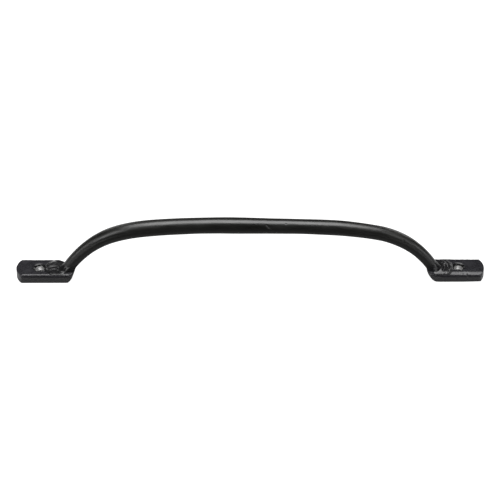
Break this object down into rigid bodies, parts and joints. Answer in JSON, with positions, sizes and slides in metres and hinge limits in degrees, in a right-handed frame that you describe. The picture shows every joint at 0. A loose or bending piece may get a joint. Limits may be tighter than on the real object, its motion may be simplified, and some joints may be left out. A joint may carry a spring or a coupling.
{
  "type": "bow pull handle",
  "caption": "Shallow bow pull handle: a round tapering bar welded at each end to a flat foot plate with a countersunk screw hole.",
  "frame": {"origin": "on the surface that the handle is screwed to, midway between the outer ends of the two foot plates and on the bar's centreline", "axes": "+X along the handle from the left foot to the right foot, +Y across it away from the front, +Z away from the mounting surface"},
  "size_m": [0.254, 0.0144, 0.0371],
  "materials": {
    "black_iron": "satin black wax or powder coat over hand-forged steel",
    "weld_metal": "the same black over rippled weld metal",
    "bare_steel": "bare drilled bore wall of the screw holes"
  },
  "bodies": {
    "root": {"grip_bar": "black_iron", "left_foot_plate": "black_iron", "right_foot_plate": "black_iron", "left_root_weld": "weld_metal", "right_root_weld": "weld_metal", "left_toe_weld": "weld_metal", "right_toe_weld": "weld_metal"}
  },
  "joints": []
}
